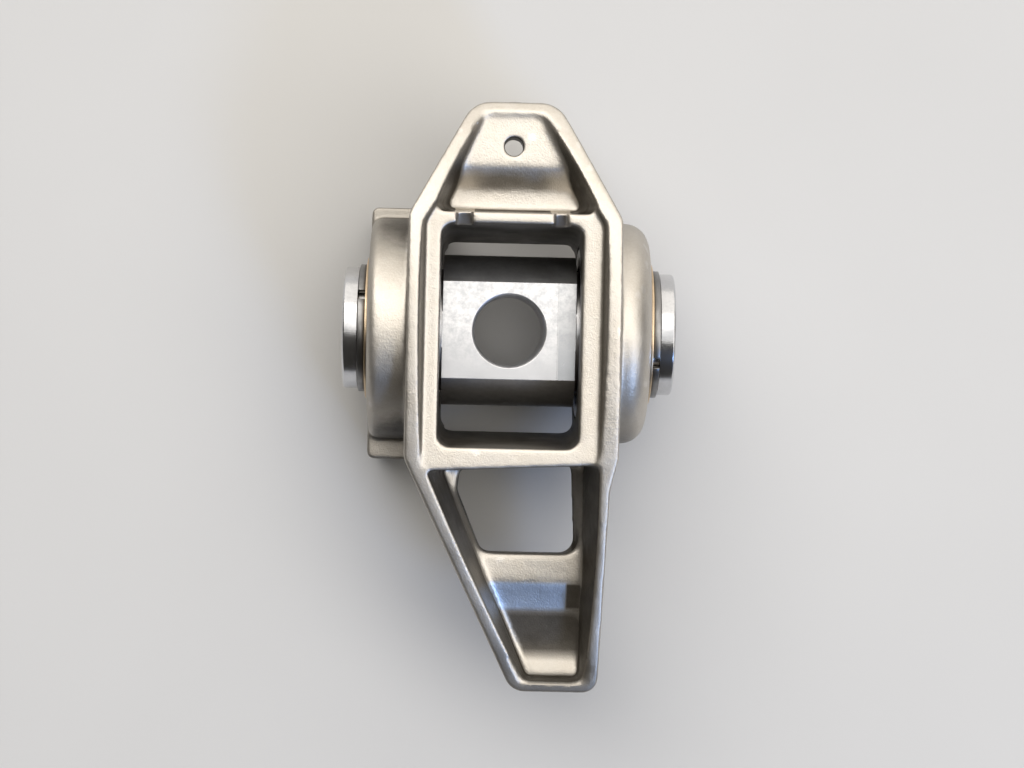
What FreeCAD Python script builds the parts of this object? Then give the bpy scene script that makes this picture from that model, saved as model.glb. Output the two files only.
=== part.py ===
import FreeCAD, Part

import math
import os

from FreeCAD import Vector

# Roller rocker arm with a needle-bearing trunnion. Millimetres.
# Origin: where the trunnion's axis crosses its bolt hole's axis.
# +X runs along the trunnion, +Y towards the pushrod end, +Z up through the bolt hole.

# Trunnion
TRUNNION_HALF_LENGTH = 19.3
JOURNAL_RADIUS = 7.15
MIDDLE_RADIUS = 8.85
MIDDLE_HALF_WIDTH = 7.75
FLAT_HEIGHT = 6.85
BOLT_HOLE_RADIUS = 4.05
BOLT_HOLE_CHAMFER = 0.28
END_CHAMFER = 0.2
GROOVE_INNER_X = 16.72
GROOVE_WIDTH = 0.86
GROOVE_RADIUS = 6.7

# Bearings, one in each boss
NEEDLES_PER_BEARING = 18
NEEDLE_RADIUS = 0.98
NEEDLE_LENGTH = 4.9
NEEDLE_END_ROUNDING = 0.3
PITCH_RADIUS = 8.15
RACEWAY_RADIUS = 9.15
CUP_RADIUS = 10.15
CUP_LENGTH = 8.0
CUP_LIP_THICKNESS = 0.8
CUP_LIP_RADIUS = 7.85
CUP_CORNER = 0.5
BEARING_CENTRE_X = 12.1
CAGE_LENGTH = 6.2
CAGE_INNER_RADIUS = 7.6
CAGE_OUTER_RADIUS = 8.7
POCKET_CLEARANCE = 0.05

# Washers and snap rings
WASHER_INNER_X = 16.27
WASHER_THICKNESS = 0.43
WASHER_RADIUS = 8.3
WASHER_BORE_RADIUS = 7.2
RING_INNER_X = 16.75
RING_THICKNESS = 0.8
RING_INNER_RADIUS = 6.75
RING_OUTER_RADIUS = 7.5
RING_GAP = 1.2
RING_GAP_ANGLE_LEFT = 31.0
RING_GAP_ANGLE_RIGHT = -27.0

# Rocker body: bosses and lug
BOSS_RADIUS = 13.0
BOSS_FACE_X = 16.25
BOSS_RIM_ROUNDING_LEFT = 1.2
BOSS_RIM_ROUNDING_RIGHT = 2.8
WINDOW_HALF_WIDTH = 7.95
WINDOW_RIGHT_X = 8.1
LUG_FACE_X = -16.45
LUG_NEAR_Y = -15.5
LUG_FAR_Y = 14.3
LUG_TOP_Z = -0.7
LUG_BOTTOM_Z = -13.0
LUG_CORNER = 0.8

# Rocker body: heights
RIM_HEIGHT = 15.0
LAND_HEIGHT = 13.0
CENTRE_BOTTOM_Z = -6.5
ARM_WEB_TOP_Z = 5.0
ARM_WEB_THICKNESS = 2.0
BASIN_FLOOR_Z = 7.4
OIL_SHELF_Z = 9.2
TIP_Y = -41.9
PUSHROD_END_Y = 26.2

# Valve pad, pushrod socket and oil hole
PAD_CONTACT_Y = -36.2
PAD_BOTTOM_Z = -0.4
PAD_ARC_RADIUS = 14.0
PAD_START_Y = -30.4
SOCKET_X = 0.05
SOCKET_Y = 21.1
SOCKET_CENTRE_Z = 0.6
SOCKET_RADIUS = 4.0
SOCKET_KNOB_RADIUS = 5.3
SOCKET_KNOB_BOTTOM_Z = 0.2
OIL_HOLE_RADIUS = 1.1

ABOVE = 30.0   # higher than anything on the part
BELOW = -30.0  # lower than anything on the part
WIDE = 30.0    # further out along X than anything on the part

SIDES = {"left": -1, "right": 1}
X_AXIS = Vector(1, 0, 0)
Z_AXIS = Vector(0, 0, 1)


def write(node, shape):
    """Writes one node, after a test that its solids are sound."""
    if not shape.isValid():
        raise ValueError(node + " is not a valid shape")
    print(f"{node}: {len(shape.Solids)} solid, {shape.Volume:.1f} mm3")
    shape.exportStep(f"parts/{node}.step")


def rod(x0, x1, radius):
    """A cylinder along X from x0 to x1."""
    return Part.makeCylinder(radius, x1 - x0, Vector(x0, 0, 0), X_AXIS)


def tube(x0, x1, outer, inner):
    return rod(x0, x1, outer).cut(rod(x0 - 1, x1 + 1, inner))


def circle_edges_at(shape, x, radius):
    """The circular edges about the X axis that lie at x with the given radius."""
    found = []
    for edge in shape.Edges:
        curve = edge.Curve
        if isinstance(curve, Part.Circle) and abs(curve.Radius - radius) < 1e-4:
            if abs(curve.Center.x - x) < 1e-4:
                found.append(edge)
    return found


def rounded_wire(corners, z):
    """A closed outline at height z. Each corner is (x, y, rounding radius)."""
    count = len(corners)
    starts = []
    ends = []
    middles = []
    for i, (x, y, radius) in enumerate(corners):
        here = Vector(x, y, z)
        before = Vector(corners[i - 1][0], corners[i - 1][1], z)
        after = Vector(corners[(i + 1) % count][0], corners[(i + 1) % count][1], z)
        back = (before - here).normalize()
        ahead = (after - here).normalize()
        half_angle = back.getAngle(ahead) / 2
        reach = radius / math.tan(half_angle)
        bisector = (back + ahead).normalize()
        centre = here + bisector * (radius / math.sin(half_angle))
        starts.append(here + back * reach)
        ends.append(here + ahead * reach)
        middles.append(centre - bisector * radius)
    edges = []
    for i in range(count):
        edges.append(Part.Arc(starts[i], middles[i], ends[i]).toShape())
        edges.append(Part.LineSegment(ends[i], starts[(i + 1) % count]).toShape())
    return Part.Wire(edges)


def prism(corners, z0, z1):
    """A rounded outline, straight up from z0 to z1."""
    return Part.Face(rounded_wire(corners, z0)).extrude(Vector(0, 0, z1 - z0))


def drafted(low_corners, z0, high_corners, z1):
    """A solid with sloping walls between a low and a high rounded outline."""
    return Part.makeLoft([rounded_wire(low_corners, z0), rounded_wire(high_corners, z1)], True, True)


def slab(edges):
    """A closed outline in the YZ plane, drawn at x = -WIDE, made into a slab across the part."""
    return Part.Face(Part.Wire(edges)).extrude(Vector(2 * WIDE, 0, 0))


def side_point(y, z):
    return Vector(-WIDE, y, z)


def side_line(points):
    """Straight edges through points given as (y, z)."""
    ends = [side_point(y, z) for y, z in points]
    return [Part.LineSegment(a, b).toShape() for a, b in zip(ends, ends[1:])]


def side_curve(points):
    """One smooth edge through points given as (y, z)."""
    curve = Part.BSplineCurve()
    curve.interpolate([side_point(y, z) for y, z in points])
    return [curve.toShape()]


# ---------------------------------------------------------------- trunnion


def trunnion():
    """A pin with a thick middle that has two flats and the bolt hole, and a snap-ring groove by each end."""
    middle = rod(-MIDDLE_HALF_WIDTH, MIDDLE_HALF_WIDTH, MIDDLE_RADIUS)
    journals = rod(-TRUNNION_HALF_LENGTH, TRUNNION_HALF_LENGTH, JOURNAL_RADIUS)
    ends = []
    for sign in SIDES.values():
        ends += circle_edges_at(journals, sign * TRUNNION_HALF_LENGTH, JOURNAL_RADIUS)
    journals = journals.makeChamfer(END_CHAMFER, ends)
    pin = middle.fuse(journals)
    for flat_z in (FLAT_HEIGHT, -FLAT_HEIGHT - WIDE):
        corner = Vector(-MIDDLE_HALF_WIDTH, -WIDE, flat_z)
        pin = pin.cut(Part.makeBox(2 * MIDDLE_HALF_WIDTH, 2 * WIDE, WIDE, corner))
    for sign in SIDES.values():
        x = sign * (GROOVE_INNER_X + GROOVE_WIDTH / 2)
        pin = pin.cut(tube(x - GROOVE_WIDTH / 2, x + GROOVE_WIDTH / 2, JOURNAL_RADIUS + 1, GROOVE_RADIUS))
    hole = Part.makeCylinder(BOLT_HOLE_RADIUS, ABOVE - BELOW, Vector(0, 0, BELOW))
    pin = pin.cut(hole)
    mouth = BOLT_HOLE_RADIUS + BOLT_HOLE_CHAMFER
    for up in (1, -1):
        cone = Part.makeCone(
            BOLT_HOLE_RADIUS, mouth, BOLT_HOLE_CHAMFER,
            Vector(0, 0, up * (FLAT_HEIGHT - BOLT_HOLE_CHAMFER)), Vector(0, 0, up),
        )
        pin = pin.cut(cone)
    return pin.removeSplitter()


# ---------------------------------------------------------------- bearings


def bearing_cup(sign):
    """A drawn shell whose two ends turn inward and keep the cage in."""
    x0 = BEARING_CENTRE_X - CUP_LENGTH / 2
    x1 = BEARING_CENTRE_X + CUP_LENGTH / 2
    shell = rod(x0, x1, CUP_RADIUS)
    rims = circle_edges_at(shell, x0, CUP_RADIUS) + circle_edges_at(shell, x1, CUP_RADIUS)
    shell = shell.makeFillet(CUP_CORNER, rims)
    shell = shell.cut(rod(x0 - 1, x1 + 1, CUP_LIP_RADIUS))
    shell = shell.cut(rod(x0 + CUP_LIP_THICKNESS, x1 - CUP_LIP_THICKNESS, RACEWAY_RADIUS))
    return on_side(shell, sign)


def needle_angle(number):
    """Where a needle sits round the bearing, in degrees from +Y towards +Z."""
    return (number + 0.5) * 360.0 / NEEDLES_PER_BEARING


def needle_cage(sign):
    """A thin sleeve with one pocket for each needle."""
    x0 = BEARING_CENTRE_X - CAGE_LENGTH / 2
    sleeve = tube(x0, x0 + CAGE_LENGTH, CAGE_OUTER_RADIUS, CAGE_INNER_RADIUS)
    half_width = NEEDLE_RADIUS + POCKET_CLEARANCE
    half_length = NEEDLE_LENGTH / 2 + POCKET_CLEARANCE
    pockets = []
    for number in range(NEEDLES_PER_BEARING):
        pocket = Part.makeBox(
            2 * half_length, PITCH_RADIUS, 2 * half_width,
            Vector(BEARING_CENTRE_X - half_length, CAGE_INNER_RADIUS - 1, -half_width),
        )
        pocket.rotate(Vector(0, 0, 0), X_AXIS, needle_angle(number))
        pockets.append(pocket)
    return on_side(sleeve.cut(Part.makeCompound(pockets)), sign)


def needle(sign, number):
    x0 = BEARING_CENTRE_X - NEEDLE_LENGTH / 2
    x1 = BEARING_CENTRE_X + NEEDLE_LENGTH / 2
    roller = rod(x0, x1, NEEDLE_RADIUS)
    ends = circle_edges_at(roller, x0, NEEDLE_RADIUS) + circle_edges_at(roller, x1, NEEDLE_RADIUS)
    roller = roller.makeFillet(NEEDLE_END_ROUNDING, ends)
    roller.translate(Vector(0, PITCH_RADIUS, 0))
    roller.rotate(Vector(0, 0, 0), X_AXIS, needle_angle(number))
    return on_side(roller, sign)


def on_side(shape, sign):
    """Puts a piece made for the +X side on the side that sign names."""
    if sign > 0:
        return shape
    return shape.mirror(Vector(0, 0, 0), X_AXIS)


# ---------------------------------------------------------------- washers and snap rings


def thrust_washer(sign):
    washer = tube(WASHER_INNER_X, WASHER_INNER_X + WASHER_THICKNESS, WASHER_RADIUS, WASHER_BORE_RADIUS)
    return on_side(washer, sign)


def snap_ring(sign, gap_angle):
    """A flat open ring. gap_angle is from +Z towards +Y."""
    ring = tube(RING_INNER_X, RING_INNER_X + RING_THICKNESS, RING_OUTER_RADIUS, RING_INNER_RADIUS)
    gap = Part.makeBox(
        2 * RING_THICKNESS, RING_GAP, RING_OUTER_RADIUS + 1,
        Vector(RING_INNER_X - RING_THICKNESS / 2, -RING_GAP / 2, 0),
    )
    gap.rotate(Vector(0, 0, 0), X_AXIS, -gap_angle)
    return on_side(ring.cut(gap), sign)


# ---------------------------------------------------------------- rocker body


def arm_outline():
    """The casting's outline from above: the rim's outer edge, clockwise from the pushrod end."""
    return [
        (-4.6, PUSHROD_END_Y, 3.4),
        (5.0, PUSHROD_END_Y, 3.4),
        (12.5, 12.7, 2.0),
        (12.65, -14.3, 2.0),
        (11.8, -18.0, 3.0),
        (11.2, TIP_Y, 1.8),
        (1.2, TIP_Y, 2.4),
        (-11.7, -14.6, 2.0),
        (-11.65, 13.0, 2.0),
    ]


def arm_side():
    """The casting from the side: an arched rim on top, and underneath a deep middle and shallower arms."""
    far_y = PUSHROD_END_Y + 0.6
    near_y = TIP_Y - 0.6
    rim = side_curve(
        [(far_y, 8.4), (25.3, 9.25), (24.0, 10.0), (21.5, 11.2), (14.0, 13.85), (0.0, RIM_HEIGHT),
         (-14.0, 13.4), (-28.0, 10.1), (near_y, 5.7)]
    )
    pushrod_underside = side_curve([(12.4, CENTRE_BOTTOM_Z), (16.0, -1.6), (20.5, 1.9), (far_y, 3.8)])
    arm_underside = side_curve([(-13.6, CENTRE_BOTTOM_Z), (-20.0, -3.4), (-30.0, 0.5), (near_y, 2.0)])
    return slab(
        rim
        + side_line([(near_y, 5.7), (near_y, 2.0)])
        + arm_underside
        + side_line([(-13.6, CENTRE_BOTTOM_Z), (12.4, CENTRE_BOTTOM_Z)])
        + pushrod_underside
        + side_line([(far_y, 3.8), (far_y, 8.4)])
    )


def valve_pad(outline):
    """The convex pad under the tip: a slice of a cylinder about an axis along X."""
    centre_z = PAD_BOTTOM_Z + PAD_ARC_RADIUS
    roller = Part.makeCylinder(PAD_ARC_RADIUS, 2 * WIDE, Vector(-WIDE, PAD_CONTACT_Y, centre_z), X_AXIS)
    under_tip = Part.makeBox(
        2 * WIDE, PAD_START_Y - TIP_Y + 1, ARM_WEB_TOP_Z - PAD_BOTTOM_Z,
        Vector(-WIDE, TIP_Y - 1, PAD_BOTTOM_Z - 1),
    )
    return roller.common(under_tip).common(outline)


def boss(sign, rim_rounding):
    """One of the two round housings for the bearings."""
    round_part = rod(WINDOW_HALF_WIDTH - 0.5, BOSS_FACE_X, BOSS_RADIUS)
    rim = circle_edges_at(round_part, BOSS_FACE_X, BOSS_RADIUS)
    return on_side(round_part.makeFillet(rim_rounding, rim), sign)


def lug():
    """The square block that the left boss stands on."""
    corners = [
        (LUG_FACE_X, LUG_NEAR_Y, LUG_CORNER),
        (LUG_FACE_X, LUG_FAR_Y, LUG_CORNER),
        (-WINDOW_HALF_WIDTH + 0.5, LUG_FAR_Y, LUG_CORNER),
        (-WINDOW_HALF_WIDTH + 0.5, LUG_NEAR_Y, LUG_CORNER),
    ]
    return prism(corners, LUG_BOTTOM_Z, LUG_TOP_Z)


def centre_window():
    """The opening for the trunnion. Its two end walls slope in towards the bottom."""
    radius = 1.4
    low_z = CENTRE_BOTTOM_Z - 1.0
    left = WINDOW_HALF_WIDTH
    right = WINDOW_RIGHT_X
    high = [(-left, 12.05, radius), (right, 12.05, radius), (right, -13.3, radius), (-left, -13.3, radius)]
    low = [(-left, 10.5, radius), (right, 10.5, radius), (right, -12.1, radius), (-left, -12.1, radius)]
    sloping = drafted(low, low_z, high, LAND_HEIGHT)
    return sloping.fuse([prism(high, LAND_HEIGHT, ABOVE), prism(low, BELOW, low_z)])


def land_recess():
    """The shallow step down from the rim to the flat land round the centre window."""
    high = [
        (-10.6, -17.0, 1.0), (-10.6, 12.4, 1.5), (-8.6, 16.2, 0.4),
        (9.2, 16.2, 0.4), (11.2, 12.5, 1.5), (11.2, -13.8, 1.5), (10.7, -17.0, 0.4),
    ]
    low = [
        (-9.7, -16.2, 1.0), (-9.7, 12.0, 1.5), (-7.8, 15.6, 0.4),
        (8.3, 15.6, 0.4), (10.35, 12.1, 1.5), (10.4, -13.6, 1.5), (9.8, -16.2, 0.4),
    ]
    return drafted(low, LAND_HEIGHT, high, RIM_HEIGHT + 1.0)


def oil_basin():
    """The basin at the pushrod end: an upper shelf with the oil hole, a slope, and a lower floor."""
    walls = drafted(
        [(-2.4, 24.5, 0.9), (2.4, 24.5, 0.9), (8.2, 13.8, 0.8), (-7.7, 13.8, 0.8)], BASIN_FLOOR_Z - 0.4,
        [(-5.5, 25.5, 1.2), (5.5, 25.5, 1.2), (10.3, 13.2, 0.8), (-9.2, 13.2, 0.8)], RIM_HEIGHT,
    )
    beyond_y = PUSHROD_END_Y + 2.0
    above_floor = slab(side_line([
        (beyond_y, OIL_SHELF_Z - 0.1), (18.75, OIL_SHELF_Z), (16.2, BASIN_FLOOR_Z), (10.0, BASIN_FLOOR_Z),
        (10.0, ABOVE), (beyond_y, ABOVE), (beyond_y, OIL_SHELF_Z - 0.1),
    ]))
    return walls.common(above_floor)


def oil_notches():
    """Two notches in the bar between basin and window, which let oil run to the two bearings."""
    notches = []
    for x0, x1 in ((-6.3, -4.5), (4.8, 6.3)):
        ramp = Part.Face(Part.makePolygon([
            Vector(x0, 14.4, LAND_HEIGHT - 0.1), Vector(x0, 10.0, LAND_HEIGHT - 4.0),
            Vector(x0, 10.0, ABOVE), Vector(x0, 14.4, ABOVE), Vector(x0, 14.4, LAND_HEIGHT - 0.1),
        ]))
        notches.append(ramp.extrude(Vector(x1 - x0, 0, 0)))
    return notches


def valve_channel():
    """The channel along the valve-side arm. Its floor dips over the pad and rises to meet the rim at the tip."""
    foot = [(-7.5, -16.05, 0.4), (9.15, -15.05, 0.4), (9.2, -40.5, 0.8), (2.85, -40.5, 0.8)]
    top = [(-9.1, -16.05, 0.4), (10.5, -15.05, 0.4), (11.9, -41.2, 0.8), (0.6, -41.2, 0.8)]
    walls = drafted(foot, ARM_WEB_TOP_Z, top, LAND_HEIGHT)
    walls = walls.fuse([
        prism(top, LAND_HEIGHT, RIM_HEIGHT + 1.0),
        prism(foot, ARM_WEB_TOP_Z - 3.0, ARM_WEB_TOP_Z),
    ])
    dip = side_curve([
        (-29.15, ARM_WEB_TOP_Z), (-31.0, 4.15), (-33.5, 3.15), (-35.5, 2.55),
        (-37.2, 2.3), (-38.6, 2.45), (-40.0, 2.95), (-42.0, 3.9),
    ])
    above_floor = slab(
        side_line([(-10.0, ARM_WEB_TOP_Z), (-29.15, ARM_WEB_TOP_Z)])
        + dip
        + side_line([(-42.0, 3.9), (-42.0, ABOVE), (-10.0, ABOVE), (-10.0, ARM_WEB_TOP_Z)])
    )
    return walls.common(above_floor)


def arm_window():
    """The opening through the arm's web. Its right edge slopes up to the foot of the wall."""
    low = [(-5.3, -16.2, 0.6), (7.6, -15.5, 0.6), (8.15, -25.8, 1.7), (-2.6, -25.8, 1.4), (-5.6, -18.6, 1.5)]
    high = [(-5.3, -16.2, 0.6), (9.1, -15.5, 0.6), (9.1, -25.8, 1.9), (-2.6, -25.8, 1.4), (-5.6, -18.6, 1.5)]
    bevel_z = ARM_WEB_TOP_Z - 1.7
    return prism(low, BELOW, bevel_z).fuse(drafted(low, bevel_z, high, ARM_WEB_TOP_Z + 0.2))


def underside_hollows():
    """Two hollows between the walls from below: one along the arm, one beside the pushrod socket."""
    web_bottom = ARM_WEB_TOP_Z - ARM_WEB_THICKNESS
    arm = prism(
        [(-8.9, -16.2, 1.0), (10.3, -15.6, 1.0), (9.8, -29.4, 1.0), (-2.9, -29.4, 1.0)], BELOW, web_bottom
    )
    basin = prism([(-7.4, 13.9, 1.0), (7.6, 13.9, 1.0), (6.6, 16.4, 1.0), (-6.4, 16.4, 1.0)], BELOW, 5.4)
    return [arm, basin]


def rocker_body():
    outline = prism(arm_outline(), BELOW, ABOVE)
    casting = arm_side().common(outline)
    socket_knob = Part.makeCylinder(
        SOCKET_KNOB_RADIUS, BASIN_FLOOR_Z - SOCKET_KNOB_BOTTOM_Z,
        Vector(SOCKET_X, SOCKET_Y, SOCKET_KNOB_BOTTOM_Z), Z_AXIS,
    )
    casting = casting.cut(land_recess())
    casting = casting.fuse([
        boss(SIDES["left"], BOSS_RIM_ROUNDING_LEFT),
        boss(SIDES["right"], BOSS_RIM_ROUNDING_RIGHT),
        lug(),
    ])
    casting = casting.cut(underside_hollows())
    casting = casting.fuse([valve_pad(outline), socket_knob])
    casting = casting.cut([oil_basin(), valve_channel()] + oil_notches())
    casting = casting.cut([centre_window(), arm_window()])
    casting = casting.cut(rod(-WIDE, WIDE, CUP_RADIUS))
    socket = Part.makeSphere(SOCKET_RADIUS, Vector(SOCKET_X, SOCKET_Y, SOCKET_CENTRE_Z))
    oil_hole = Part.makeCylinder(
        OIL_HOLE_RADIUS, OIL_SHELF_Z + 2 - SOCKET_CENTRE_Z,
        Vector(SOCKET_X, SOCKET_Y, SOCKET_CENTRE_Z), Z_AXIS,
    )
    casting = casting.cut([socket, oil_hole])
    return casting.removeSplitter()


# ---------------------------------------------------------------- everything


def main():
    os.makedirs("parts", exist_ok=True)
    write("rocker_body", rocker_body())
    write("trunnion", trunnion())
    gap_angles = {"left": RING_GAP_ANGLE_LEFT, "right": RING_GAP_ANGLE_RIGHT}
    for side, sign in SIDES.items():
        write(f"bearing_cup_{side}", bearing_cup(sign))
        write(f"needle_cage_{side}", needle_cage(sign))
        for number in range(NEEDLES_PER_BEARING):
            write(f"needle_{side}_{number + 1:02d}", needle(sign, number))
        write(f"thrust_washer_{side}", thrust_washer(sign))
        write(f"snap_ring_{side}", snap_ring(sign, gap_angles[side]))


main()
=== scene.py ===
import math

import bmesh
import bpy
import numpy as np
from mathutils import Matrix, Vector


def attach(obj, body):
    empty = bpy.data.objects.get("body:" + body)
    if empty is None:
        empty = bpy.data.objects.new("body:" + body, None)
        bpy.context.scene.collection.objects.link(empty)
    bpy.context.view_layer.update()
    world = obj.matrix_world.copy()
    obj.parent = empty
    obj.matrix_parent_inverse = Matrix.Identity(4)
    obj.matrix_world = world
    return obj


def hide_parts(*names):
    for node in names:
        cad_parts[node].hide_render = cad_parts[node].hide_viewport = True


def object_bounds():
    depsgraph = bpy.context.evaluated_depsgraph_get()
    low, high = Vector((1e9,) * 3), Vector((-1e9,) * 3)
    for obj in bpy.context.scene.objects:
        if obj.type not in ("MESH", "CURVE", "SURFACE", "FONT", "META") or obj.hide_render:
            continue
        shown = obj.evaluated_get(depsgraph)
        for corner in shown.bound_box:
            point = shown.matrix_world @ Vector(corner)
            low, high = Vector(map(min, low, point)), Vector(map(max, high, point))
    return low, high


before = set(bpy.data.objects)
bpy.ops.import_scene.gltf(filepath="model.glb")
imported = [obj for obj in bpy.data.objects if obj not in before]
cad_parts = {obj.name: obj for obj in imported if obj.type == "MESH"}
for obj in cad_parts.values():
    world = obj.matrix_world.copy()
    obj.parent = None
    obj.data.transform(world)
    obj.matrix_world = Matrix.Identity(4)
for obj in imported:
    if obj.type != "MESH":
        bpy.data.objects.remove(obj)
CAD_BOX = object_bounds()

MM = 0.001
BODY_VOXEL = 0.15 * MM         # cell of the remesh that melts the casting's edges
BODY_MAX_TRIANGLES = 190000
EDGE_SMOOTHING = 20            # passes over the whole casting
COVE_SMOOTHING = 80            # further passes where floors meet walls
BEARING_BORE = 10.15 * MM      # the machined bore in each boss
BORE_START_X = 8.0 * MM
FLOOR_HALF_WIDTH = 1.5

# Places on the casting that its painted shade, highlight and reflection follow.
BOSS_FOOT_X = 11.8 * MM        # each boss stands out of the rim from here; the painted shade is lighter on the right one
NOTCH_START_Y = 11.9 * MM      # the oil notches in the bar between window and basin
NOTCH_END_Y = 14.4 * MM
NOTCH_MIDDLE_X = 0.08 * MM
NOTCH_SPREAD = 5.48 * MM       # each notch's distance from that middle
ARM_START_Y = -15.4 * MM       # the channel of the valve-side arm begins here
LEFT_WALL_END_X = 6.0 * MM     # the channel's left wall stays left of this
RIGHT_WALL_START_X = 7.5 * MM
LEDGE_END_Y = -29.3 * MM       # the level ledge ends and the channel's floor falls away
DESCENT_END_Y = -32.8 * MM
PATCH_RIGHT_X = 7.2 * MM       # right edge of the painted bluish reflection on that descent; a painted shadow lies right of it
SOFT_EDGE = 0.3 * MM           # width over which a painted shade or reflection fades out

# The trunnion's flats.
TOOL_LINE_X = 5.65 * MM        # where two passes of the cutter met
TRUNNION_MIDDLE_X = 8.0 * MM   # half the length of the thick middle

# The brown of the painted shade on the casting.
SHADE_BROWN = (0.026, 0.020, 0.012, 1.0)
TURNED_RINGS = (16000.0, 60.0, 60.0)    # features per metre along X, Y and Z
SCRATCHES = (5000.0, 500.0, 500.0)


# ---------------------------------------------------------------- camera, floor, light


def make_camera():
    """The photographed view: nearly straight down, the arm turned a little clockwise."""
    eye = Vector((-3.92, -0.90, 275.8)) * MM
    aim = Vector((0.59, -6.25, 0.0)) * MM
    turn = math.radians(1.35)
    forward = (aim - eye).normalized()
    up_hint = Vector((-math.sin(turn), math.cos(turn), 0.0))
    right = forward.cross(up_hint).normalized()
    up = right.cross(forward)
    data = bpy.data.cameras.new("camera")
    data.sensor_width = 36.0
    data.lens = 81.84375
    data.clip_start = 0.01
    data.clip_end = 20.0
    camera = bpy.data.objects.new("camera", data)
    rotation = Matrix((right, up, -forward)).transposed()
    camera.matrix_world = Matrix.Translation(eye) @ rotation.to_4x4()
    bpy.context.scene.collection.objects.link(camera)
    bpy.context.scene.camera = camera


def area_light(name, direction, distance, size, power, colour):
    """A soft panel that faces the origin. Its direction is off straight up, in degrees towards +X and +Y."""
    lean_x, lean_y = (math.tan(math.radians(a)) for a in direction)
    data = bpy.data.lights.new(name, "AREA")
    data.shape = "RECTANGLE"
    data.size, data.size_y = size
    data.energy = power
    data.color = colour
    light = bpy.data.objects.new(name, data)
    light.location = Vector((lean_x, lean_y, 1.0)).normalized() * distance
    light.rotation_mode = "QUATERNION"
    light.rotation_quaternion = light.location.to_track_quat("Z", "Y")
    light.visible_camera = False
    bpy.context.scene.collection.objects.link(light)


def make_lights():
    world = bpy.data.worlds.new("studio")
    bpy.context.scene.world = world
    world.use_nodes = True
    background = world.node_tree.nodes["Background"]
    background.inputs["Color"].default_value = (1.0, 0.93, 0.84, 1)
    background.inputs["Strength"].default_value = 0.04
    area_light("key", (8, 12), 0.8, (2.2, 0.60), 10.8, (1.0, 0.97, 0.925))
    area_light("low_key", (6, 66), 0.8, (2.0, 1.10), 9.0, (1.0, 0.96, 0.90))
    area_light("sky", (38, -46), 0.8, (0.16, 0.16), 1.4, (0.36, 0.56, 1.0))


# ---------------------------------------------------------------- material helpers


class Nodes:
    """A small helper that adds nodes to one material and links them."""

    def __init__(self, name):
        self.material = bpy.data.materials.new(name)
        self.material.use_nodes = True
        self.tree = self.material.node_tree
        self.shader = self.tree.nodes["Principled BSDF"]
        coordinates = self.add("ShaderNodeTexCoord")
        self.place = coordinates.outputs["Object"]
        self.x, self.y, self.z = self.split(self.place)
        self.facing_x, self.facing_y, self.facing_z = self.split(coordinates.outputs["Normal"])

    def add(self, kind, inputs=None, **settings):
        node = self.tree.nodes.new(kind)
        for key, value in settings.items():
            setattr(node, key, value)
        for key, value in (inputs or {}).items():
            self.put(node.inputs[key], value)
        return node

    def put(self, socket, value):
        if isinstance(value, bpy.types.NodeSocket):
            self.tree.links.new(value, socket)
        else:
            socket.default_value = value

    def split(self, vector):
        parts = self.add("ShaderNodeSeparateXYZ", {"Vector": vector})
        return [parts.outputs[axis] for axis in "XYZ"]

    def noise(self, size, detail=3.0, roughness=0.55):
        """Noise with features of about the given size in metres."""
        return self.noise_on(self.place, 1.0 / size, detail, roughness)

    def streaks(self, scale, detail, roughness):
        """Noise stretched along some axes: scale is its features per metre on each."""
        mapping = self.add("ShaderNodeMapping", {"Vector": self.place, "Scale": scale})
        return self.noise_on(mapping.outputs["Vector"], 1.0, detail, roughness)

    def noise_on(self, vector, scale, detail, roughness):
        node = self.add(
            "ShaderNodeTexNoise",
            {"Vector": vector, "Scale": scale, "Detail": detail, "Roughness": roughness},
        )
        return node.outputs["Fac"]

    def ramp(self, value, low, high, out_low=0.0, out_high=1.0):
        """Goes from out_low to out_high as value goes from low to high, and stays level outside that."""
        node = self.add(
            "ShaderNodeMapRange",
            {"Value": value, "From Min": low, "From Max": high, "To Min": out_low, "To Max": out_high},
        )
        return node.outputs["Result"]

    def rise(self, value, low, high):
        """0 below low, 1 above high."""
        return self.ramp(value, low, high)

    def fall(self, value, low, high):
        """1 below low, 0 above high."""
        return self.ramp(value, low, high, 1.0, 0.0)

    def times(self, first, *others):
        for other in others:
            first = self.maths("MULTIPLY", first, other)
        return first

    def most(self, first, *others):
        for other in others:
            first = self.maths("MAXIMUM", first, other)
        return first

    def distance(self, value, middle):
        return self.maths("ABSOLUTE", self.maths("SUBTRACT", value, middle))

    def openness(self, reach):
        """1 in the open, less in recesses as deep as the given reach."""
        node = self.add("ShaderNodeAmbientOcclusion", {"Distance": reach}, samples=8)
        return node.outputs["AO"]

    def maths(self, operation, a, b=0.0):
        node = self.add("ShaderNodeMath", operation=operation)
        self.put(node.inputs[0], a)
        self.put(node.inputs[1], b)
        return node.outputs[0]

    def mix(self, factor, a, b):
        """A mix of two colours."""
        node = self.add("ShaderNodeMix", data_type="RGBA")
        self.put(node.inputs["Factor"], factor)
        self.put(node.inputs["A"], a)
        self.put(node.inputs["B"], b)
        return node.outputs["Result"]

    def bump(self, height, distance, strength=1.0, under=None):
        node = self.add("ShaderNodeBump", {"Height": height, "Distance": distance, "Strength": strength})
        if under is not None:
            self.put(node.inputs["Normal"], under)
        return node.outputs["Normal"]

    def finish(self, colour, roughness, normal, metallic=1.0):
        self.put(self.shader.inputs["Base Color"], colour)
        self.put(self.shader.inputs["Roughness"], roughness)
        self.put(self.shader.inputs["Normal"], normal)
        if metallic is not None:
            self.shader.inputs["Metallic"].default_value = metallic
        return self.material


def rgb(red, green, blue):
    return (red, green, blue, 1.0)


# ---------------------------------------------------------------- materials


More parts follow.
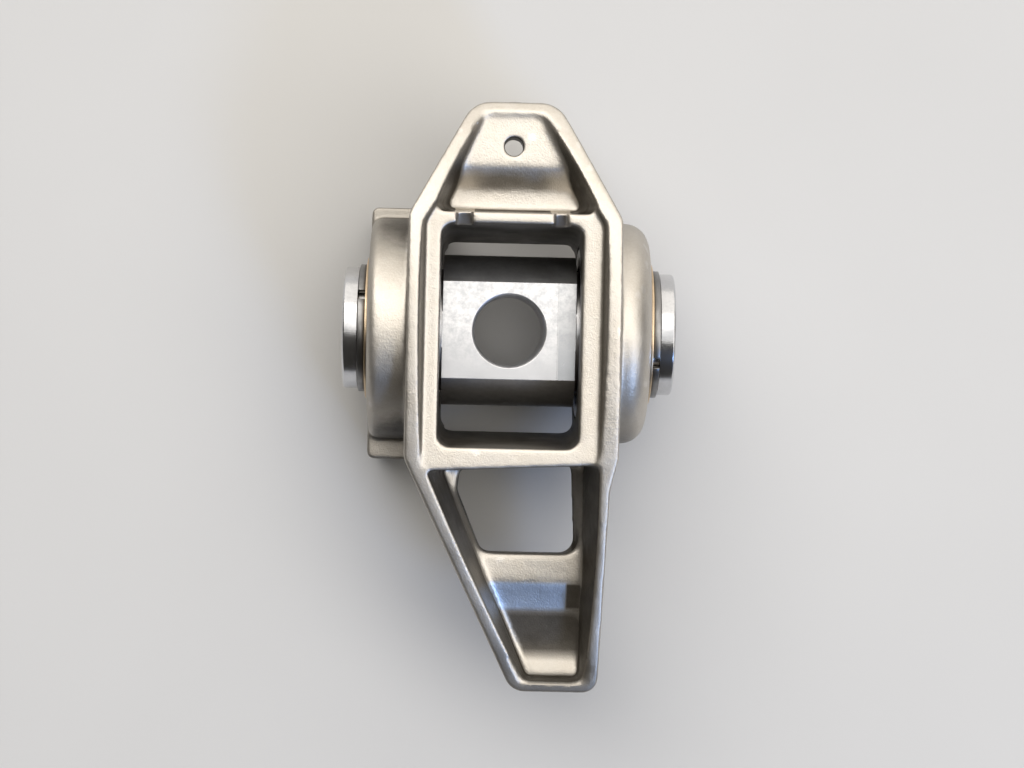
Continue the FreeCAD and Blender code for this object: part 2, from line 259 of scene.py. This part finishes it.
def floor_paper():
    n = Nodes("floor_paper")
    colour = n.mix(n.noise(0.04, 2.0), rgb(0.60, 0.595, 0.585), rgb(0.64, 0.635, 0.625))
    normal = n.bump(n.noise(0.0006), 0.00003, 0.3)
    return n.finish(colour, 0.8, normal, 0.0)


def cast_steel():
    """Investment-cast steel: fine grain from the mould, worn edges with a painted highlight, brown painted
    shade and a painted bluish reflection.
    """
    n = Nodes("cast_steel")
    grain = n.noise(0.22 * MM, 2.0, 0.6)
    fine = n.noise(0.14 * MM, 2.0, 0.6)
    cloud = n.noise(3.5 * MM, 4.0, 0.6)
    # Painted shade: in recesses, low down, on faces towards the valve and in the arm's channel.
    painted_shade = n.most(painted_recess_shade(n), painted_side_shade(n), painted_floor_shade(n), painted_channel_shade(n))
    painted_shade = n.times(painted_shade, painted_shade_kept(n))
    painted_shade = n.times(n.maths("MINIMUM", painted_shade, 1.0), n.ramp(cloud, 0.3, 0.7, 0.90, 1.0))
    # Worn edges, lighter and smoother; the lighter colour is also a painted highlight.
    edge = n.rise(n.add("ShaderNodeNewGeometry").outputs["Pointiness"], 0.53, 0.60)
    steel = n.mix(n.rise(cloud, 0.35, 0.65), rgb(0.57, 0.525, 0.46), rgb(0.63, 0.59, 0.53))
    steel = n.mix(n.ramp(grain, 0.35, 0.7, 0.0, 0.35), steel, rgb(0.70, 0.67, 0.62))
    steel = n.mix(n.times(edge, 0.4), steel, rgb(0.75, 0.73, 0.70))
    # The painted bluish reflection on the channel's descent.
    steel = n.mix(painted_blue_reflection(n), steel, rgb(0.72, 0.84, 1.0))
    # The painted shade, in brown, over the steel.
    steel = n.mix(painted_shade, steel, SHADE_BROWN)
    rough = n.ramp(cloud, 0.3, 0.7, 0.42, 0.49)
    rough = n.maths("SUBTRACT", rough, n.times(edge, 0.07))
    normal = n.bump(grain, 0.035 * MM, 0.8)
    normal = n.bump(fine, 0.014 * MM, 0.8, normal)
    n.put(n.shader.inputs["Metallic"], n.ramp(painted_shade, 0.3, 1.0, 1.0, 0.25))
    n.shader.inputs["Specular IOR Level"].default_value = 0.3
    return n.finish(steel, rough, normal, None)


def painted_recess_shade(n):
    """Painted shade on steep faces, darkest where the casting is hollow; lighter on the right boss."""
    recess = n.fall(n.openness(8.0 * MM), 0.60, 1.0)
    steep = n.fall(n.facing_z, 0.40, 0.90)
    painted_shade = n.times(n.ramp(recess, 0.0, 1.0, 0.30, 1.30), n.rise(steep, 0.15, 1.0))
    # The painted shade is lighter on the right boss and darker on the left one.
    right_boss = n.ramp(n.x, BOSS_FOOT_X, BOSS_FOOT_X + 0.4 * MM, 1.0, 0.2)
    left_boss = n.ramp(n.x, -BOSS_FOOT_X - 0.4 * MM, -BOSS_FOOT_X, 1.3, 1.0)
    return n.times(painted_shade, right_boss, left_boss)


def painted_side_shade(n):
    """Painted shade low down on the sides, and on faces that look towards the valve, away from the light."""
    low = n.ramp(n.z, -4.0 * MM, 8.0 * MM, 0.6, 0.0)
    towards_valve = n.ramp(n.facing_y, -0.95, -0.6, 0.7, 0.0)
    return n.most(low, towards_valve)


def painted_channel_shade(n):
    """Painted shade on the arm's inner walls, strongest towards the window, on its ledge and on the tip's
    rim.
    """
    in_arm = n.fall(n.y, ARM_START_Y - 0.5 * MM, ARM_START_Y)
    upright = n.fall(n.facing_z, 0.45, 0.75)
    left = n.times(
        n.rise(n.facing_x, 0.1, 0.3),
        n.fall(n.x, LEFT_WALL_END_X, LEFT_WALL_END_X + 0.5 * MM),
        n.ramp(n.y, -38.0 * MM, -21.0 * MM, 0.55, 1.0),
    )
    right = n.times(
        n.fall(n.facing_x, -0.3, -0.1),
        n.rise(n.x, RIGHT_WALL_START_X, RIGHT_WALL_START_X + 0.5 * MM),
        n.ramp(n.y, -42.0 * MM, -26.0 * MM, 0.85, 1.0),
    )
    walls = n.times(n.maths("ADD", left, right), upright, in_arm)
    tip = n.times(n.ramp(n.y, -42.0 * MM, -34.0 * MM, 0.55, 0.0), n.rise(n.z, 4.3 * MM, 4.8 * MM))
    ledge = n.times(
        n.rise(n.y, LEDGE_END_Y, LEDGE_END_Y + SOFT_EDGE),
        n.rise(n.facing_z, 0.85, 0.95),
        n.fall(n.z, 7.0 * MM, 7.4 * MM),
        n.ramp(n.x, -1.0 * MM, 9.0 * MM, 0.15, 0.50),
        in_arm,
    )
    return n.most(walls, tip, ledge)


def painted_shade_kept(n):
    """0 where the painted shade is lifted: a painted highlight in the cove along the channel's left wall,
    the painted bluish reflection, the notches.
    """
    # A painted highlight in the cove along the channel's left wall.
    cove = n.times(
        n.rise(n.facing_z, 0.50, 0.70),
        n.rise(n.facing_x, 0.05, 0.25),
        n.fall(n.x, LEFT_WALL_END_X, LEFT_WALL_END_X + 0.5 * MM),
        n.fall(n.y, -26.5 * MM, -24.5 * MM),
    )
    off_notch = n.distance(n.distance(n.x, NOTCH_MIDDLE_X), NOTCH_SPREAD)
    notches = n.times(
        n.fall(off_notch, 1.0 * MM, 1.2 * MM),
        n.rise(n.z, 4.0 * MM, 5.0 * MM),
        n.rise(n.y, NOTCH_START_Y, NOTCH_START_Y + 0.2 * MM),
        n.fall(n.y, NOTCH_END_Y, NOTCH_END_Y + 0.2 * MM),
    )
    return n.fall(n.most(cove, notches, painted_blue_reflection(n)), 0.0, 0.75)


def painted_floor_shade(n):
    """Painted shade where the channel's floor is lowest, and a painted shadow on the descent beside the
    right wall.
    """
    floor_shade = n.times(
        n.fall(n.y, -33.0 * MM, -32.0 * MM),
        n.rise(n.y, -39.3 * MM, -37.3 * MM),
        n.ramp(n.z, 3.2 * MM, 4.2 * MM, 0.93, 0.0),
        upward(n),
    )
    # A painted shadow right of the bluish reflection.
    beside = n.ramp(n.x, PATCH_RIGHT_X, PATCH_RIGHT_X + SOFT_EDGE, 0.0, 0.97)
    return n.most(floor_shade, n.times(beside, descent(n)))


def painted_blue_reflection(n):
    """A painted bluish reflection on the descent, left of its painted shadow strip."""
    return n.times(n.ramp(n.x, PATCH_RIGHT_X, PATCH_RIGHT_X + SOFT_EDGE, 0.75, 0.0), descent(n))


def descent(n):
    """1 on the stretch of the channel's floor that falls away from the ledge."""
    return n.times(
        n.fall(n.y, LEDGE_END_Y - 0.2 * MM, LEDGE_END_Y + 0.2 * MM),
        n.rise(n.y, DESCENT_END_Y, DESCENT_END_Y + 0.6 * MM),
        n.fall(n.z, 5.0 * MM, 5.4 * MM),
        upward(n),
    )


def upward(n):
    """1 on floors and their coves, 0 on walls and undersides."""
    return n.rise(n.facing_z, 0.3, 0.6)


def turned_steel(name, colour, roughness):
    """Machined round stock: fine rings about the X axis, a dull mottle, and painted shade in the grooves."""
    n = Nodes(name)
    rings = n.streaks(TURNED_RINGS, 2.0, 0.7)
    mottle = n.noise(1.1 * MM, 5.0, 0.7)
    scratch = n.streaks(SCRATCHES, 2.0, 0.5)
    marks = n.rise(scratch, 0.70, 0.76)
    # Painted shade in the grooves and recesses.
    painted_shade = n.ramp(n.openness(2.5 * MM), 0.35, 0.75, 0.85, 0.0)
    dull = [c * 0.86 for c in colour]
    metal = n.mix(n.rise(mottle, 0.4, 0.7), rgb(*colour), rgb(*dull))
    metal = n.mix(n.times(marks, 0.2), metal, rgb(*[c * 0.6 for c in colour]))
    metal = n.mix(painted_shade, metal, rgb(0.05, 0.042, 0.03))
    rough = n.ramp(mottle, 0.3, 0.7, roughness * 0.9, roughness * 1.2)
    rough = n.maths("ADD", rough, n.times(marks, 0.1))
    normal = n.bump(rings, 0.004 * MM, 0.5)
    normal = n.bump(mottle, 0.012 * MM, 0.35, normal)
    return n.finish(metal, rough, normal)


def trunnion_steel():
    """Ground journals, and two milled flats that show a mottle and a line between two cutter passes; painted
    shade in the recesses and towards -Y on the flats.
    """
    n = Nodes("trunnion_steel")
    flat = n.rise(n.maths("ABSOLUTE", n.facing_z), 0.985, 0.999)
    off_flat = n.fall(flat, 0.0, 1.0)
    rings = n.streaks(TURNED_RINGS, 2.0, 0.7)
    mottle = n.noise(0.8 * MM, 5.0, 0.75)
    patches = n.noise(3.0 * MM, 3.0, 0.6)
    # Painted shade in the recesses, off the flats.
    painted_shade = n.times(n.ramp(n.openness(4.0 * MM), 0.30, 0.80, 0.48, 0.0), off_flat)
    line = n.times(n.fall(n.distance(n.x, TOOL_LINE_X), 0.02 * MM, 0.09 * MM), flat)
    beyond_line = n.rise(n.x, TOOL_LINE_X, TOOL_LINE_X + 0.1 * MM)
    painted_shade_end = n.ramp(n.y, 4.0 * MM, -5.0 * MM, 0.20, 1.0)
    milled = n.mix(n.rise(mottle, 0.40, 0.62), rgb(0.56, 0.56, 0.565), rgb(0.40, 0.405, 0.42))
    # Painted shade: the flats darken towards -Y, more so past the tool line.
    milled = n.mix(n.rise(n.y, 1.0 * MM, -5.0 * MM), milled, rgb(0.38, 0.385, 0.40))
    milled = n.mix(n.times(beyond_line, painted_shade_end), milled, rgb(0.26, 0.27, 0.285))
    ground = n.mix(n.rise(mottle, 0.42, 0.68), rgb(0.66, 0.66, 0.67), rgb(0.58, 0.58, 0.59))
    steel = n.mix(flat, ground, milled)
    steel = n.mix(n.times(line, 0.4), steel, rgb(0.30, 0.30, 0.31))
    steel = n.mix(painted_shade, steel, rgb(0.10, 0.075, 0.045))
    middle = n.fall(n.maths("ABSOLUTE", n.x), TRUNNION_MIDDLE_X, TRUNNION_MIDDLE_X + SOFT_EDGE)
    rough = n.ramp(patches, 0.3, 0.7, 0.17, 0.23)
    rough = n.maths("ADD", rough, n.times(flat, 0.10))
    rough = n.maths("ADD", rough, n.times(middle, off_flat, 0.22))
    normal = n.bump(rings, 0.004 * MM, 0.5)
    normal = n.bump(mottle, 0.012 * MM, 0.5, normal)
    normal = n.bump(line, 0.01 * MM, 0.6, normal)
    return n.finish(steel, rough, normal)


# ---------------------------------------------------------------- the casting


def copy_of(node, name):
    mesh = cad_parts[node].data.copy()
    mesh.materials.clear()
    piece = bpy.data.objects.new(name, mesh)
    bpy.context.scene.collection.objects.link(piece)
    return piece


def applied(piece):
    """Bakes the piece's modifiers into its mesh."""
    graph = bpy.context.evaluated_depsgraph_get()
    mesh = bpy.data.meshes.new_from_object(
        piece.evaluated_get(graph), preserve_all_data_layers=True, depsgraph=graph
    )
    piece.modifiers.clear()
    old = piece.data
    piece.data = mesh
    bpy.data.meshes.remove(old)


def points_of(mesh):
    points = np.empty(len(mesh.vertices) * 3, dtype=np.float32)
    mesh.vertices.foreach_get("co", points)
    return points.reshape(-1, 3)


def as_cast_mask(points):
    """True where the surface is as cast, False on the machined bearing bores."""
    from_axis = np.hypot(points[:, 1], points[:, 2])
    near_bore = (np.abs(points[:, 0]) > BORE_START_X) & (from_axis < BEARING_BORE + 0.2 * MM)
    return ~near_bore


def between(value, low, high):
    return (value > low) & (value < high)


def cavity_mask(points):
    """True at the feet of the walls in the arm's channel and in the oil basin, which have wide coves."""
    x, y, z = (points / MM).T
    wall = 1.3    # stays this far inside the outline
    channel_left = -11.7 + (-14.6 - y) * 0.4725 + wall
    floor = np.where(y > -29.3, 4.2, 2.0)
    channel = between(y, -40.9, -15.9) & between(x, channel_left, 10.2) & between(z, floor, 7.2)
    basin_left = -11.65 + (y - 13.0) * 0.534 + wall
    basin_right = 12.5 - (y - 12.7) * 0.556 - wall
    basin = between(y, 13.3, 25.2) & between(x, basin_left, basin_right) & between(z, 6.9, 10.6)
    oil_hole = np.hypot(x - 0.05, y - 21.1) < 1.8
    return channel | (basin & ~oil_hole)


def weld_and_remesh(piece):
    weld = piece.modifiers.new("weld", "WELD")
    weld.merge_threshold = 1e-6
    applied(piece)
    remesh = piece.modifiers.new("remesh", "REMESH")
    remesh.mode = "VOXEL"
    remesh.voxel_size = BODY_VOXEL
    remesh.use_smooth_shade = True
    applied(piece)


def group_of(piece, name, mask):
    group = piece.vertex_groups.new(name=name)
    group.add(np.flatnonzero(mask).tolist(), 1.0, "REPLACE")
    return group.name


def smooth(piece, group, iterations):
    modifier = piece.modifiers.new("smooth", "SMOOTH")
    modifier.factor = 0.5
    modifier.iterations = iterations
    modifier.vertex_group = group


def make_uneven(piece, group):
    """The slight waviness of a cast skin."""
    waves = bpy.data.textures.new("waves", "CLOUDS")
    waves.noise_scale = 0.7 * MM
    waves.noise_depth = 2
    modifier = piece.modifiers.new("uneven", "DISPLACE")
    modifier.texture = waves
    modifier.texture_coords = "LOCAL"
    modifier.strength = 0.035 * MM
    modifier.mid_level = 0.5
    modifier.vertex_group = group


def thin_out(piece):
    faces = len(piece.data.polygons)
    thin = piece.modifiers.new("thin", "DECIMATE")
    thin.ratio = min(1.0, BODY_MAX_TRIANGLES / (2 * faces))
    applied(piece)


def keep_inside_cad_box(piece):
    low, high = (np.array(corner, dtype=np.float32) for corner in CAD_BOX)
    inside = np.clip(points_of(piece.data), low, high)
    piece.data.vertices.foreach_set("co", inside.ravel())
    piece.data.update()


def make_casting():
    piece = copy_of("rocker_body", "rocker_casting")
    weld_and_remesh(piece)
    points = points_of(piece.data)
    as_cast = group_of(piece, "as_cast", as_cast_mask(points))
    coves = group_of(piece, "coves", cavity_mask(points))
    smooth(piece, as_cast, EDGE_SMOOTHING)
    smooth(piece, coves, COVE_SMOOTHING)
    make_uneven(piece, as_cast)
    applied(piece)
    thin_out(piece)
    for polygon in piece.data.polygons:
        polygon.use_smooth = True
    keep_inside_cad_box(piece)
    piece.data.materials.append(cast_steel())
    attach(piece, "rocker")
    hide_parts("rocker_body")


def make_floor():
    z = CAD_BOX[0].z
    mesh = bpy.data.meshes.new("floor")
    half = FLOOR_HALF_WIDTH
    corners = [(-half, -half, z), (half, -half, z), (half, half, z), (-half, half, z)]
    mesh.from_pydata(corners, [], [(0, 1, 2, 3)])
    mesh.materials.append(floor_paper())
    floor = bpy.data.objects.new("floor", mesh)
    bpy.context.scene.collection.objects.link(floor)


def machined(node, name, body, material, bevel):
    """A turned piece with its sharp corners broken, shown in the CAD node's place."""
    piece = copy_of(node, name)
    work = bmesh.new()
    work.from_mesh(piece.data)
    bmesh.ops.remove_doubles(work, verts=work.verts, dist=1e-7)
    bmesh.ops.dissolve_limit(work, angle_limit=math.radians(0.5), verts=work.verts, edges=work.edges)
    work.to_mesh(piece.data)
    work.free()
    for polygon in piece.data.polygons:
        polygon.use_smooth = True
    broken = piece.modifiers.new("broken", "BEVEL")
    broken.width = bevel
    broken.segments = 2
    broken.limit_method = "ANGLE"
    broken.angle_limit = math.radians(35)
    even = piece.modifiers.new("even", "WEIGHTED_NORMAL")
    even.weight = 100
    applied(piece)
    piece.data.materials.append(material)
    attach(piece, body)
    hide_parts(node)


def make_machined_pieces():
    pin = trunnion_steel()
    bronze = turned_steel("thrust_bronze", (0.80, 0.62, 0.42), 0.36)
    spring = turned_steel("spring_steel", (0.27, 0.265, 0.26), 0.34)
    machined("trunnion", "trunnion_pin", "trunnion", pin, 0.10 * MM)
    for side in ("left", "right"):
        machined("thrust_washer_" + side, "washer_" + side, "trunnion", bronze, 0.06 * MM)
        machined("snap_ring_" + side, "ring_" + side, "trunnion", spring, 0.08 * MM)


def dress_cad_pieces():
    """Gives each CAD piece that stays in view its metal."""
    metals = {
        "bearing_cup": turned_steel("bearing_steel", (0.58, 0.58, 0.60), 0.28),
        "needle_cage": turned_steel("cage_steel", (0.42, 0.40, 0.38), 0.4),
        "needle": turned_steel("needle_steel", (0.66, 0.66, 0.68), 0.18),
    }
    for name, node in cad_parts.items():
        kinds = [kind for kind in metals if name.startswith(kind)]
        if kinds:
            node.data.materials.clear()
            node.data.materials.append(metals[max(kinds, key=len)])


make_camera()
make_lights()
make_floor()
make_casting()
make_machined_pieces()
dress_cad_pieces()
bpy.context.scene.view_settings.view_transform = "Standard"
